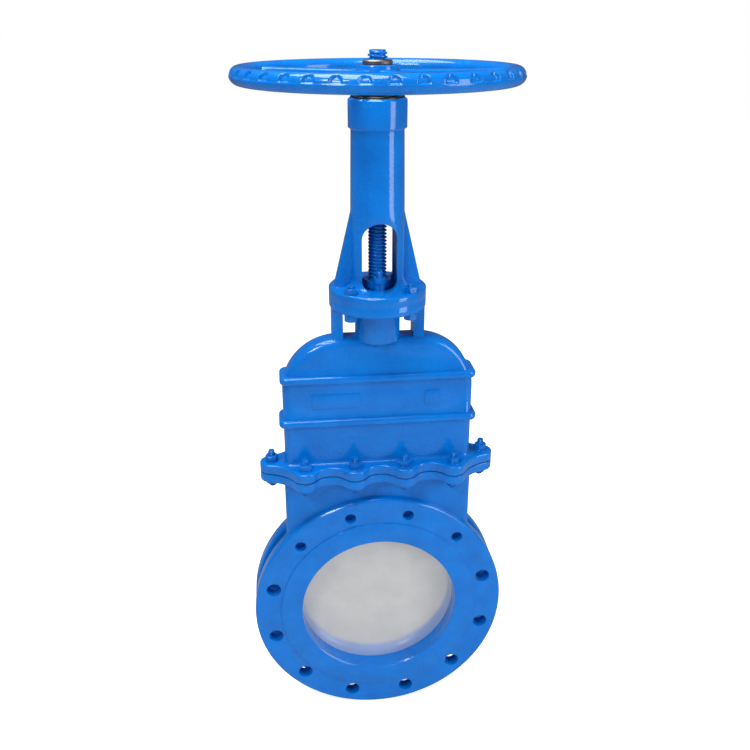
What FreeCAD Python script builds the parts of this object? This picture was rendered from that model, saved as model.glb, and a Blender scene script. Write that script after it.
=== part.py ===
import FreeCAD, Part
import math
import os
import re
import Sketcher
from FreeCAD import Placement, Rotation, Vector

# Flanged knife gate valve with a bolted bonnet, an outside yoke and a rising stem.
# Frame: X across the valve, +Y along the pipe away from the front flange, +Z up the stem.
# The origin is the centre of the front bolt circle, on the front flange's bolting face.

os.makedirs("parts", exist_ok=True)
doc = FreeCAD.newDocument("KnifeGateValve")

# ---------------------------------------------------------------- driving dimensions (mm)
SIZES = (
    ("port_d", 250, "bore of the pipe port"),
    ("face_len", 70, "raised face to raised face"),
    ("raised_h", 2, "height of the raised faces"),
    ("raised_land", 33, "width of the raised face round the port"),
    ("flange_land", 75, "port wall to flange rim"),
    ("flange_th", 22, "pipe flange thickness"),
    ("bolt_inset", 50, "port wall to bolt circle"),
    ("bolt_hole_d", 23, "through holes for M20"),
    ("tapped_d", 17.5, "blind holes tapped M20"),
    ("tapped_depth", 14, "depth of the blind holes"),
    ("rim_chamfer", 2.5, "broken edge of the pipe flanges"),
    ("stem_room", 1.5, "clearance of the stem to the case walls"),
    ("case_wall", 6.5, "front and back wall of neck and bonnet"),
    ("neck_wall", 10.5, "side wall of the neck"),
    ("neck_round", 8, "edge radius of the neck"),
    ("neck_rise", 46, "pipe flange rim to bonnet joint"),
    ("gasket_th", 2, "bonnet gasket"),
    ("gasket_inset", 2, "gasket edge in from the lobed outline"),
    ("lobe_th", 14, "thickness of each lobed flange"),
    ("lobe_r", 18, "radius of a lobe about its stud"),
    ("lobe_round", 2.5, "edge radius of the lobed flanges"),
    ("row_end_in", 31.6, "neck side to the last stud of a row"),
    ("row_out", 16, "case face to stud row"),
    ("valley_out", 14.5, "case face to the valley between lobes"),
    ("end_out", 18, "neck side to end stud"),
    ("corner_valley_r", 60, "hollow between row and end lobes"),
    ("stud_d", 10, "bonnet studs M10"),
    ("stud_over", 8, "stud standing out of its nut"),
    ("nut_af", 17, "nut across flats"),
    ("nut_h", 8, "nut height"),
    ("washer_d", 20, "washer outside"),
    ("washer_th", 2, "washer thickness"),
    ("gate_th", 12, "gate plate"),
    ("gate_lap", 5, "gate beyond the port all round"),
    ("gate_over", 17, "gate shoulder above the port"),
    ("gate_corner", 45, "shoulder radius"),
    ("tongue_w", 44, "gate tongue width"),
    ("tongue_len", 44, "gate tongue length"),
    ("travel_over", 10, "travel beyond the port diameter"),
    ("slide_gap", 0.2, "clearance of the gate to seats and guides"),
    ("seat_wall", 7, "radial wall of the seat rings"),
    ("seat_root", 6.5, "seat ring depth sunk in the case wall"),
    ("seal_w", 3.5, "seat seal section"),
    ("guide_gap", 0.5, "gate edge to guide"),
    ("guide_th", 3, "guide strip thickness"),
    ("guide_lip", 12, "guide strip lips"),
    ("fit_gap", 0.1, "clearance between pieces that stay together"),
    ("run_gap", 0.05, "radial running clearance"),
    ("hood_draft", 2.5, "bonnet side set in from the neck side"),
    ("hood_arc_r", 84, "shoulder radius of the bonnet"),
    ("hood_wall", 9, "side and top wall of the bonnet"),
    ("hood_round", 12, "edge radius of the bonnet"),
    ("foot_round", 5, "fillets between the lobed flanges and their walls"),
    ("top_gap", 6, "room over the tongue when open"),
    ("rib_h", 12, "height of a wrap-round rib"),
    ("rib_out", 6.5, "rib standing out"),
    ("rib_low", 69, "lower rib above the bonnet flange"),
    ("rib_step", 69, "lower rib to upper rib"),
    ("pad_out", 1.2, "blank marking pads standing out"),
    ("pad_h", 22, "blank marking pads height"),
    ("pad_in", 28, "stem axis to the large pad"),
    ("pad_w", 70, "large pad width"),
    ("small_pad_in", 69, "stem axis to the small pad"),
    ("small_pad_w", 21, "small pad width"),
    ("box_rise", 60, "bonnet top to yoke joint"),
    ("disc_d", 138.5, "bonnet top disc and yoke flange"),
    ("disc_th", 14.5, "bonnet top disc"),
    ("pillar_in", 51, "inside of a pillar from the stem axis"),
    ("pillar_w", 15.5, "pillar width"),
    ("pillar_depth", 30, "pillar depth along the pipe"),
    ("box_d", 65, "stuffing box outside"),
    ("packing_d", 36, "packing chamber"),
    ("bush_len", 6, "packing bush"),
    ("ring_len", 8, "one packing ring"),
    ("ring_count", 4, "packing rings"),
    ("register_d", 62.4, "register on the bonnet disc"),
    ("register_h", 3, "register height"),
    ("gland_r", 24, "gland studs from the stem axis"),
    ("gland_stud_d", 10, "gland studs M10"),
    ("gland_nut_af", 16, "gland nut across flats"),
    ("gland_nut_h", 8, "gland nut height"),
    ("gland_th", 10, "gland flange"),
    ("gland_rise", 14, "gland flange over the disc"),
    ("yoke_flange_th", 15, "yoke base flange"),
    ("yoke_spare", 9, "yoke height beyond the travel"),
    ("tube_d", 75, "yoke column at its foot"),
    ("tube_top_d", 72, "yoke column under the collar"),
    ("tube_bore", 63, "yoke column bore"),
    ("cove_r", 12, "root radius of the column"),
    ("collar_wall", 8.5, "yoke collar wall round the bearings"),
    ("collar_len", 40, "yoke collar height"),
    ("collar_chamfer", 2.5, "broken edges of the collar"),
    ("web_th", 15, "floor of the bearing chamber"),
    ("window_w", 49, "yoke window width"),
    ("window_len", 70, "sill to arch centre"),
    ("window_corner", 12, "lower corners of the window"),
    ("wing_out", 61, "yoke wing foot from the stem axis"),
    ("wing_len", 105, "yoke wing height"),
    ("wing_th", 12, "yoke wing thickness"),
    ("yoke_bolt_circle", 117, "yoke bolts"),
    ("stem_d", 26, "stem Tr26 x 5 left hand"),
    ("stem_out", 12, "stem end over the lock nut when shut"),
    ("stem_lift", 4, "stem foot over the gate shoulder"),
    ("pin_d", 10, "stem pins"),
    ("pin_step", 16, "stem pin pitch"),
    ("nut_wall", 5, "stem nut wall in the hub"),
    ("nut_collar_th", 7, "stem nut collar thickness"),
    ("race_th", 3.3, "bearing race"),
    ("ball_d", 6.6, "bearing balls"),
    ("ball_count", 18, "balls in one bearing"),
    ("cap_th", 2.5, "bearing cap flange thickness"),
    ("cap_neck_h", 5.5, "bearing cap neck height"),
    ("wheel_d", 382, "handwheel outside"),
    ("rim_d", 24, "handwheel rim section"),
    ("hub_wall", 9.5, "handwheel hub wall"),
    ("hub_len", 31, "handwheel hub length"),
    ("hub_gap", 1, "hub over the bearing cap"),
    ("rim_drop", 11, "hub top to rim centre"),
    ("spoke_count", 5, "handwheel spokes"),
    ("spoke_w", 20, "spoke width"),
    ("spoke_th", 10, "spoke thickness"),
    ("lock_nut_wall", 3.2, "round lock nut wall"),
    ("lock_nut_h", 6, "round lock nut height"),
    ("key_w", 8, "wheel key width"),
    ("key_h", 7, "wheel key height"),
    ("key_len", 24, "wheel key length"),
)

# ---------------------------------------------------------------- places worked out from them
DERIVED = (
    ("port_r", "port_d / 2"),
    ("case_depth", "stem_d + 2 * stem_room + 2 * case_wall"),
    ("mid_y", "face_len / 2 - raised_h"),
    ("rear_y", "face_len - 2 * raised_h"),
    ("flange_r", "port_r + flange_land"),
    ("raised_r", "port_r + raised_land"),
    ("bolt_r", "port_r + bolt_inset"),
    ("gate_r", "port_r + gate_lap"),
    ("case_front", "mid_y - case_depth / 2"),
    ("case_back", "mid_y + case_depth / 2"),
    ("room_front", "case_front + case_wall"),
    ("room_back", "case_back - case_wall"),
    ("gate_front", "mid_y - gate_th / 2"),
    ("gate_back", "mid_y + gate_th / 2"),
    ("room_r", "gate_r + guide_gap + guide_th + fit_gap"),
    ("neck_r", "room_r + neck_wall"),
    ("stud_step", "(neck_r - row_end_in) * 2 / 3"),
    ("joint_z", "flange_r + neck_rise"),
    ("hood_z", "joint_z + gasket_th"),
    ("lobe_top", "hood_z + lobe_th"),
    ("lobe_foot", "joint_z - lobe_th"),
    ("row_y", "case_depth / 2 + row_out"),
    ("end_x", "neck_r + end_out"),
    ("gate_top", "port_r + gate_over"),
    ("tongue_top", "gate_top + tongue_len"),
    ("travel", "port_d + travel_over"),
    ("hood_top", "tongue_top + travel + top_gap + hood_wall"),
    ("hood_r", "neck_r - hood_draft"),
    ("disc_top", "hood_top + box_rise"),
    ("disc_foot", "disc_top - disc_th"),
    ("packing_z", "disc_top + register_h - ring_count * ring_len - bush_len - gland_th - 10"),
    ("gland_z", "disc_top + gland_rise"),
    ("yoke_foot", "disc_top + yoke_flange_th"),
    ("collar_top", "disc_top + travel + yoke_spare"),
    ("collar_foot", "collar_top - collar_len"),
    ("cap_top", "collar_top + cap_th + cap_neck_h"),
    ("hub_foot", "cap_top + hub_gap"),
    ("hub_top", "hub_foot + hub_len"),
    ("rim_z", "hub_top - rim_drop"),
    ("rim_r", "wheel_d / 2 - rim_d / 2"),
    ("nut_top", "hub_top + lock_nut_h"),
    ("stem_top", "nut_top + stem_out"),
    ("stem_foot", "gate_top + stem_lift"),
    ("nut_neck_d", "stem_d + 2 * nut_wall"),
    ("nut_thread_d", "nut_neck_d - 3"),
    ("nut_barrel_d", "nut_neck_d + 4"),
    ("nut_collar_d", "nut_barrel_d + 14"),
    ("ball_circle", "nut_barrel_d + 11"),
    ("chamber_d", "ball_circle + 11"),
    ("collar_d", "chamber_d + 2 * collar_wall"),
    ("cap_d", "collar_d - 7"),
    ("cap_neck_d", "chamber_d - 10.4"),
    ("hub_d", "nut_neck_d + 2 * hub_wall"),
    ("lock_nut_d", "nut_thread_d + 2 * lock_nut_wall"),
    ("race_low", "collar_foot + fit_gap"),
    ("nut_collar_z", "race_low + 2 * race_th + ball_d + 2 * fit_gap"),
    ("race_high", "nut_collar_z + nut_collar_th"),
    ("cap_foot", "race_high + 2 * race_th + ball_d + 2 * fit_gap"),
)


def make_sheet(name, rows, as_formula):
    """A spreadsheet with one alias per row: word, value, note."""
    table = doc.addObject("Spreadsheet::Sheet", name)
    for number, row in enumerate(rows, 1):
        table.set("A%d" % number, row[0])
        table.set("B%d" % number, "=" + formula(row[1]) if as_formula else str(row[1]))
        table.set("C%d" % number, row[2] if len(row) > 2 else "")
        table.setAlias("B%d" % number, row[0])
    doc.recompute()
    return table


SHEET_OF = {row[0]: "Sizes" for row in SIZES}
SHEET_OF.update({row[0]: "Derived" for row in DERIVED})


def formula(text):
    """A formula written in the sheets' words, with each word's sheet put before it."""
    return re.sub(r"[a-z_]\w*", lambda m: "%s.%s" % (SHEET_OF[m.group()], m.group())
                  if m.group() in SHEET_OF else m.group(), text)


sizes = make_sheet("Sizes", SIZES, False)
derived = make_sheet("Derived", DERIVED, True)


def num(text):
    """The present value of such a formula."""
    return float(derived.evalExpression(formula(text)))


# ---------------------------------------------------------------- helpers
TURN = {"Z": Rotation(), "Y": Rotation(Vector(1, 0, 0), -90), "X": Rotation(Vector(0, 1, 0), 90)}
UPRIGHT = Rotation()


def bind(thing, values):
    """Ties properties of an object to formulas."""
    for prop, text in values.items():
        thing.setExpression(prop, formula(text))
    return thing


def put(thing, x, y, z, rotation=UPRIGHT):
    """Places an object, with its three coordinates tied to formulas."""
    thing.Placement = Placement(Vector(num(x), num(y), num(z)), rotation)
    return bind(thing, {"Placement.Base.x": x, "Placement.Base.y": y, "Placement.Base.z": z})


def cylinder(name, radius, length, x="0", y="mid_y", z="0", along="Z"):
    rod = doc.addObject("Part::Cylinder", name)
    bind(rod, {"Radius": radius, "Height": length})
    return put(rod, x, y, z, TURN[along])


def block(name, x0, x1, y0, y1, z0, z1):
    """A box between two corners."""
    box = doc.addObject("Part::Box", name)
    bind(box, {"Length": "(%s) - (%s)" % (x1, x0), "Width": "(%s) - (%s)" % (y1, y0),
               "Height": "(%s) - (%s)" % (z1, z0)})
    return put(box, x0, y0, z0)


def fuse(name, things):
    joined = doc.addObject("Part::MultiFuse", name)
    joined.Shapes = things
    return joined


def cut(name, base, tools):
    """base less every tool."""
    hollow = doc.addObject("Part::Cut", name)
    hollow.Base = base
    hollow.Tool = tools[0] if len(tools) == 1 else fuse(name + "_tools", tools)
    return hollow


def closed_outline(body, name, plane_role, corners):
    """A sketch of straight lines whose corners are tied to formulas."""
    sketch = body.newObject("Sketcher::SketchObject", name)
    plane = [item for item in body.Origin.OriginFeatures if item.Role == plane_role][0]
    sketch.AttachmentSupport = [(plane, "")]
    sketch.MapMode = "FlatFace"
    points = [Vector(num(a), num(b), 0) for a, b in corners]
    count = len(points)
    for i in range(count):
        sketch.addGeometry(Part.LineSegment(points[i], points[(i + 1) % count]), False)
    for i in range(count):
        sketch.addConstraint(Sketcher.Constraint("Coincident", i, 2, (i + 1) % count, 1))
    for i, pair in enumerate(corners):
        for text, kind, axis, value in ((pair[0], "DistanceX", -2, points[i].x),
                                        (pair[1], "DistanceY", -1, points[i].y)):
            if text == "0":
                sketch.addConstraint(Sketcher.Constraint("PointOnObject", i, 1, axis))
            else:
                tie = sketch.addConstraint(Sketcher.Constraint(kind, -1, 1, i, 1, value))
                sketch.setExpression("Constraints[%d]" % tie, formula(text))
    return sketch


def turned(name, corners, about="Z"):
    """A turned piece about the stem axis (corners are radius, height) or about the port axis."""
    body = doc.addObject("PartDesign::Body", name)
    plane = "XZ_Plane" if about == "Z" else "XY_Plane"
    sketch = closed_outline(body, name + "_outline", plane, corners)
    turn = body.newObject("PartDesign::Revolution", name + "_turn")
    turn.Profile = sketch
    turn.ReferenceAxis = (sketch, ["V_Axis"])
    turn.Angle = 360
    body.Tip = turn
    return put(body, "0", "mid_y" if about == "Z" else "0", "0")


def plate(name, corners, depth):
    """A plate with its outline in X and Z, centred on the gate's plane."""
    body = doc.addObject("PartDesign::Body", name)
    pad = body.newObject("PartDesign::Pad", name + "_pad")
    pad.Profile = closed_outline(body, name + "_outline", "XZ_Plane", corners)
    bind(pad, {"Length": depth})
    pad.Midplane = True
    body.Tip = pad
    return put(body, "0", "mid_y", "0")


def solid(name, shape):
    """A shape made with Part's own functions; its place comes with it."""
    thing = doc.addObject("Part::Feature", name)
    thing.Shape = shape
    return thing


def copies(name, pattern, places):
    """Separate copies of a pattern piece, each moved by a vector, as one group."""
    doc.recompute()
    shapes = []
    for place in places:
        shape = pattern.Shape.copy()
        shape.translate(place)
        shapes.append(shape)
    return solid(name, Part.makeCompound(shapes))


def hexagon(name, across, height, hole_r, z="0"):
    """A hexagon nut or head with chamfered corners, standing on z at the plan's origin."""
    half = num(across) / 2
    corner = half / math.cos(math.pi / 6)
    points = [Vector(corner * math.cos(math.radians(a)), corner * math.sin(math.radians(a)), 0)
              for a in range(0, 361, 60)]
    prism = Part.Face(Part.makePolygon(points)).extrude(Vector(0, 0, num(height)))
    cap = Part.makeCone(half + num(height), half * 0.97, num(height) + half * 0.03)
    body = prism.common(cap)
    if hole_r > 0:
        body = body.cut(Part.makeCylinder(hole_r, num(height)))
    body.translate(Vector(0, 0, num(z)))
    return solid(name, body)


def polar(radius, angles, y=0.0, z=0.0):
    """Vectors on a circle about the stem axis."""
    return [Vector(radius * math.cos(math.radians(a)), y + radius * math.sin(math.radians(a)), z)
            for a in angles]


sub_parts = []


def finish(thing, label):
    """Marks an object as a finished sub-part."""
    thing.Label = label
    sub_parts.append(thing)
    return thing


# ---------------------------------------------------------------- lobed bonnet joint
def stud_places():
    """Stud centres in plan, in order round the joint: front row, end, back row, end."""
    half_steps = (-1.5, -0.5, 0.5, 1.5)
    front = [Vector(k * num("stud_step"), num("mid_y - row_y"), 0) for k in half_steps]
    back = [Vector(k * num("stud_step"), num("mid_y + row_y"), 0) for k in reversed(half_steps)]
    right = Vector(num("end_x"), num("mid_y"), 0)
    left = Vector(-num("end_x"), num("mid_y"), 0)
    return front + [right] + back + [left]


def lobed_face():
    """The wavy flange: an arc round each stud and a hollow arc between neighbours."""
    lobes = stud_places()
    count = len(lobes)
    radius = num("lobe_r")
    drop = num("row_out - valley_out")
    half = num("stud_step") / 2
    row_hollow = (half ** 2 + drop ** 2 - radius ** 2) / (2 * (radius + drop))
    hollows = []
    for i in range(count):
        a, b = lobes[i], lobes[(i + 1) % count]
        hollow = row_hollow if abs(a.y - b.y) < 0.001 else num("corner_valley_r")
        along = (b - a) / (b - a).Length
        outward = Vector(along.y, -along.x, 0)
        rise = math.sqrt((radius + hollow) ** 2 - ((b - a).Length / 2) ** 2)
        hollows.append(((a + b) / 2 + outward * rise, outward, hollow))
    edges = []
    for i in range(count):
        before, after = hollows[i - 1][0] - lobes[i], hollows[i][0] - lobes[i]
        start = lobes[i] + before / before.Length * radius
        end = lobes[i] + after / after.Length * radius
        middle = before / before.Length + after / after.Length
        edges.append(Part.Arc(start, lobes[i] + middle / middle.Length * radius, end).toShape())
        centre, outward, hollow = hollows[i]
        back = lobes[(i + 1) % count] - centre
        edges.append(Part.Arc(end, centre - outward * hollow, centre + back / back.Length * hollow).toShape())
    return Part.Face(Part.Wire(edges))


def lobed_flange(z0, z1, rounded_z):
    """The flange between two heights, with one outer edge rounded."""
    shape = lobed_face().extrude(Vector(0, 0, z1 - z0))
    shape.translate(Vector(0, 0, z0))
    rim = [edge for edge in shape.Edges if abs(edge.BoundBox.ZMin - rounded_z) < 0.01
           and edge.BoundBox.ZLength < 0.01]
    return shape.makeFillet(num("lobe_round"), rim)


def across_edges(shape, planes):
    """Edges that lie in one of the given planes across Y."""
    return [edge for edge in shape.Edges if edge.BoundBox.YLength < 0.01
            and min(abs(edge.BoundBox.YMin - plane) for plane in planes) < 0.01]


def neck_solid(half, top, y0, y1, edge_round):
    """The flat case round the gate: a half disc below, straight sides above."""
    left, right = Vector(-half, y0, 0), Vector(half, y0, 0)
    high_left, high_right = Vector(-half, y0, top), Vector(half, y0, top)
    wire = Part.Wire([Part.Arc(left, Vector(0, y0, -half), right).toShape(),
                      Part.makeLine(right, high_right), Part.makeLine(high_right, high_left),
                      Part.makeLine(high_left, left)])
    shape = Part.Face(wire).extrude(Vector(0, y1 - y0, 0))
    if edge_round == 0:
        return shape
    edges = [edge for edge in across_edges(shape, (y0, y1)) if edge.BoundBox.ZMin < top - 1]
    return shape.makeFillet(edge_round, edges)


def hood_solid(inset, foot, y0, y1, edge_round):
    """The bonnet's hood: straight sides, large shoulder arcs and a flat crown."""
    half, top, radius = num("hood_r") - inset, num("hood_top") - inset, num("hood_arc_r") - inset
    flat, spring, slope = half - radius, top - radius, radius * math.sqrt(0.5)
    corners = [Vector(-half, y0, foot), Vector(-half, y0, spring), Vector(-flat, y0, top),
               Vector(flat, y0, top), Vector(half, y0, spring), Vector(half, y0, foot)]
    left_mid = Vector(-flat - slope, y0, spring + slope)
    right_mid = Vector(flat + slope, y0, spring + slope)
    wire = Part.Wire([Part.makeLine(corners[0], corners[1]),
                      Part.Arc(corners[1], left_mid, corners[2]).toShape(),
                      Part.makeLine(corners[2], corners[3]),
                      Part.Arc(corners[3], right_mid, corners[4]).toShape(),
                      Part.makeLine(corners[4], corners[5]), Part.makeLine(corners[5], corners[0])])
    shape = Part.Face(wire).extrude(Vector(0, y1 - y0, 0))
    if edge_round == 0:
        return shape
    edges = [edge for edge in across_edges(shape, (y0, y1)) if edge.BoundBox.ZMax > foot + 1]
    return shape.makeFillet(edge_round, edges)


def with_foot(wall, flange, z):
    """A wall joined to a lobed flange, with a fillet where it stands on the flange at height z."""
    joined = wall.fuse(flange).removeSplitter()
    foot = [edge for edge in joined.Edges if abs(edge.BoundBox.ZMin - z) < 0.01 and edge.BoundBox.ZLength < 0.01
            and max(abs(edge.BoundBox.YMin - num("mid_y")), abs(edge.BoundBox.YMax - num("mid_y")))
            < num("case_depth / 2 + 0.1") and max(abs(edge.BoundBox.XMin), edge.BoundBox.XMax)
            < num("neck_r + 0.1")]
    return joined.makeFillet(num("foot_round"), foot)


def band_solid(half_x, half_y, z, height, corner, edge_round):
    """A rounded rectangular band round the bonnet at one height."""
    shape = Part.makeBox(2 * half_x, 2 * half_y, height,
                         Vector(-half_x, num("mid_y") - half_y, z - height / 2))
    upright = [edge for edge in shape.Edges if edge.BoundBox.ZLength > height - 0.01]
    shape = shape.makeFillet(corner, upright)
    flat = [edge for edge in shape.Edges if edge.BoundBox.ZLength < 0.01]
    return shape.makeFillet(edge_round, flat)


def stud_holes(name, z, length):
    """Clearance holes for the ten bonnet studs."""
    hole = cylinder(name + "_one", "stud_d / 2 + 0.5", length, y="0", z=z)
    return copies(name, hole, stud_places())


# ---------------------------------------------------------------- valve body
def pipe_flange(name, face, sign):
    """A pipe flange with raised face; face is the bolting face, sign points into the valve."""
    def depth(text):
        return "%s %s (%s)" % (face, sign, text)
    return turned(name, (("port_r", depth("-raised_h")), ("raised_r", depth("-raised_h")),
                         ("raised_r", depth("0")), ("flange_r - rim_chamfer", depth("0")),
                         ("flange_r", depth("rim_chamfer")), ("flange_r", depth("flange_th - rim_chamfer")),
                         ("flange_r - rim_chamfer", depth("flange_th")), ("port_r", depth("flange_th"))), "Y")


def make_valve_body():
    wall = neck_solid(num("neck_r"), num("joint_z - 1"), num("case_front"), num("case_back"), num("neck_round"))
    lobes = lobed_flange(num("lobe_foot"), num("joint_z"), num("lobe_foot"))
    case = solid("case_outside", with_foot(wall, lobes, num("lobe_foot")))
    front = pipe_flange("front_flange", "0", "+")
    rear = pipe_flange("rear_flange", "rear_y", "-")
    room = solid("gate_room", neck_solid(num("room_r"), num("joint_z + 1"), num("room_front"),
                                         num("room_back"), 0))
    port = cylinder("port_bore", "port_r", "face_len + 2", y="-raised_h - 1", along="Y")
    seats = cylinder("seat_bore", "port_r + seat_wall", "case_depth - 2 * case_wall + 2 * seat_root",
                     y="room_front - seat_root", along="Y")
    bolts = [math.radians(a) for a in range(15, 360, 30)]
    through, blind = [], []
    rod = cylinder("bolt_hole_rod", "bolt_hole_d / 2", "face_len + 2", y="-raised_h - 1", along="Y")
    front_rod = cylinder("front_tapped_rod", "tapped_d / 2", "tapped_depth", y="0", along="Y")
    rear_rod = cylinder("rear_tapped_rod", "tapped_d / 2", "tapped_depth", y="rear_y - tapped_depth", along="Y")
    for angle in bolts:
        place = Vector(num("bolt_r") * math.cos(angle), 0, num("bolt_r") * math.sin(angle))
        inside_neck = place.z > 0 and abs(place.x) < num("neck_r + bolt_hole_d / 2")
        (blind if inside_neck else through).append(place)
    holes = [copies("through_holes", rod, through), copies("front_tapped", front_rod, blind),
             copies("rear_tapped", rear_rod, blind),
             stud_holes("body_stud_holes", "lobe_foot - 1", "lobe_th + 2")]
    body = cut("body_casting", fuse("body_blank", [case, front, rear]),
               [room, port, seats] + holes)
    finish(body, "valve_body")


def make_seats():
    front = turned("front_seat", (("port_r", "room_front - seat_root"),
                                  ("port_r + seat_wall - fit_gap", "room_front - seat_root"),
                                  ("port_r + seat_wall - fit_gap", "gate_front - slide_gap"),
                                  ("port_r", "gate_front - slide_gap")), "Y")
    finish(front, "seat_ring_front")
    groove_in, groove_out = "port_r + 1.5", "port_r + 1.5 + seal_w"
    floor = "gate_back + slide_gap + seal_w"
    rear = turned("rear_seat", (("port_r", "gate_back + slide_gap"), (groove_in, "gate_back + slide_gap"),
                                (groove_in, floor), (groove_out, floor),
                                (groove_out, "gate_back + slide_gap"),
                                ("port_r + seat_wall - fit_gap", "gate_back + slide_gap"),
                                ("port_r + seat_wall - fit_gap", "room_back + seat_root"),
                                ("port_r", "room_back + seat_root")), "Y")
    finish(rear, "seat_ring_rear")
    seal = turned("seal", ((groove_in + " + fit_gap", "gate_back + slide_gap"),
                           (groove_out + " - fit_gap", "gate_back + slide_gap"),
                           (groove_out + " - fit_gap", floor + " - fit_gap"),
                           (groove_in + " + fit_gap", floor + " - fit_gap")), "Y")
    finish(seal, "seat_seal")


def make_guides():
    """U-shaped low friction strips that hold the gate's edges in the neck."""
    for side, sign in (("left", "-"), ("right", "")):
        inner, outer = "gate_r + guide_gap", "gate_r + guide_gap + guide_th"
        x0, x1 = (sign + "(%s)" % outer, sign + "(%s)" % inner) if sign else (inner, outer)
        low, high = "port_r * 0.62", "joint_z - 3"
        back = block("guide_back_" + side, x0, x1, "room_front + fit_gap", "room_back - fit_gap", low, high)
        lips = "(gate_r + guide_gap - guide_lip)"
        a, b = ("-(%s)" % inner, "-" + lips) if sign else (lips, inner)
        front = block("guide_front_" + side, a, b, "room_front + fit_gap", "gate_front - slide_gap", low, high)
        rear = block("guide_rear_" + side, a, b, "gate_back + slide_gap", "room_back - fit_gap", low, high)
        finish(fuse("guide_" + side, [back, front, rear]), "gate_guide_" + side)


# ---------------------------------------------------------------- gate and stem
def make_gate():
    disc = cylinder("gate_bottom", "gate_r", "gate_th", y="gate_front", along="Y")
    low = block("gate_low", "-gate_r", "gate_r", "gate_front", "gate_back", "0", "gate_top - gate_corner")
    high = block("gate_high", "-gate_r + gate_corner", "gate_r - gate_corner", "gate_front", "gate_back",
                 "0", "gate_top")
    corners = [cylinder("gate_corner_" + side, "gate_corner", "gate_th", x=x, y="gate_front",
                        z="gate_top - gate_corner", along="Y")
               for side, x in (("left", "-gate_r + gate_corner"), ("right", "gate_r - gate_corner"))]
    tongue = block("gate_tongue", "-tongue_w / 2", "tongue_w / 2", "gate_front", "gate_back",
                   "gate_top - 1", "tongue_top")
    blank = fuse("gate_blank", [disc, low, high, tongue] + corners)
    finish(cut("gate_plate", blank, pin_holes("gate", "pin_d / 2 + fit_gap")), "gate")


def pin_heights():
    return ["stem_foot + 12", "stem_foot + 12 + pin_step"]


def pin_holes(name, radius):
    return [cylinder("%s_pin_hole_%d" % (name, i), radius, "stem_d + 2", y="mid_y - stem_d / 2 - 1",
                     z=z, along="Y") for i, z in enumerate(pin_heights(), 1)]


def make_stem():
    rod = turned("stem_rod", (("0", "stem_foot"), ("stem_d / 2", "stem_foot"),
                              ("stem_d / 2", "stem_top - 2.5"), ("stem_d / 2 - 2.5", "stem_top"),
                              ("0", "stem_top")))
    slot = block("stem_slot", "-stem_d", "stem_d", "gate_front - 0.15", "gate_back + 0.15",
                 "stem_foot - 1", "tongue_top + 2")
    finish(cut("stem_forked", rod, [slot] + pin_holes("stem", "pin_d / 2 + fit_gap")), "stem")
    pins = [cylinder("stem_pin_%d" % i, "pin_d / 2", "stem_d - 2", y="mid_y - stem_d / 2 + 1",
                     z=z, along="Y") for i, z in enumerate(pin_heights(), 1)]
    pair = doc.addObject("Part::Compound", "stem_pin_pair")
    pair.Links = pins
    finish(pair, "stem_pins")


# ---------------------------------------------------------------- bonnet
def make_bonnet():
    mid = num("mid_y")
    half_depth = num("case_depth") / 2
    wall = hood_solid(0, num("hood_z"), num("case_front"), num("case_back"), num("hood_round"))
    lobes = lobed_flange(num("hood_z"), num("lobe_top"), num("lobe_top"))
    hood = solid("hood_outside", with_foot(wall, lobes, num("lobe_top")))
    bands = []
    for index, z in enumerate(("lobe_top + rib_low", "lobe_top + rib_low + rib_step")):
        spring = num("hood_top - hood_arc_r")
        above = max(0.0, num(z) - spring)
        side = num("hood_r - hood_arc_r") + math.sqrt(num("hood_arc_r") ** 2 - above ** 2)
        bands.append(solid("rib_%d" % index, band_solid(side + num("rib_out"),
                                                        half_depth + num("rib_out"), num(z),
                                                        num("rib_h"), num("hood_round"),
                                                        num("rib_h") * 0.4)))
    disc = turned("top_disc", (("0", "disc_foot"), ("disc_d / 2 - 2", "disc_foot"),
                               ("disc_d / 2", "disc_foot + 2"), ("disc_d / 2", "disc_top"),
                               ("register_d / 2", "disc_top"), ("register_d / 2", "disc_top + register_h"),
                               ("0", "disc_top + register_h")))
    box = cylinder("stuffing_box", "box_d / 2", "disc_foot - hood_top + 6", z="hood_top - 5")
    pillars = [block("pillar_" + side, x0, x1, "mid_y - pillar_depth / 2", "mid_y + pillar_depth / 2",
                     "hood_top - 12", "disc_foot + 1")
               for side, x0, x1 in (("left", "-pillar_in - pillar_w", "-pillar_in"),
                                    ("right", "pillar_in", "pillar_in + pillar_w"))]
    room = solid("hood_room", hood_solid(num("hood_wall"), num("hood_z - 1"), num("room_front"),
                                         num("room_back"), 0))
    stem_hole = cylinder("bonnet_stem_hole", "stem_d / 2 + 0.6", "disc_top - hood_top + 40", z="hood_top - 20")
    chamber = cylinder("packing_chamber", "packing_d / 2", "disc_top + register_h - packing_z + 1", z="packing_z")
    tapped = [cylinder("gland_hole_%s" % side, "gland_stud_d / 2", "20", y="mid_y %s gland_r" % sign,
                       z="disc_foot + 2") for side, sign in (("front", "-"), ("back", "+"))]
    rod = cylinder("yoke_bolt_rod", "stud_d / 2 + 0.5", "disc_th + 2", y="0", z="disc_foot - 1")
    bolts = copies("disc_bolt_holes", rod, polar(num("yoke_bolt_circle") / 2, (45, 135, 225, 315), mid))
    studs = stud_holes("hood_stud_holes", "hood_z - 1", "lobe_th + 2")
    middle = "lobe_top + rib_low + rib_step / 2"
    pads = [block("pad_" + side, x0, x1, "case_front - pad_out", "case_front + 1", middle + " - pad_h / 2",
                  middle + " + pad_h / 2")
            for side, x0, x1 in (("left", "-pad_in - pad_w", "-pad_in"),
                                 ("right", "small_pad_in", "small_pad_in + small_pad_w"))]
    blank = fuse("bonnet_blank", [hood, disc, box] + bands + pillars + pads)
    finish(cut("bonnet_casting", blank, [room, stem_hole, chamber, bolts, studs] + tapped), "bonnet")


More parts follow.
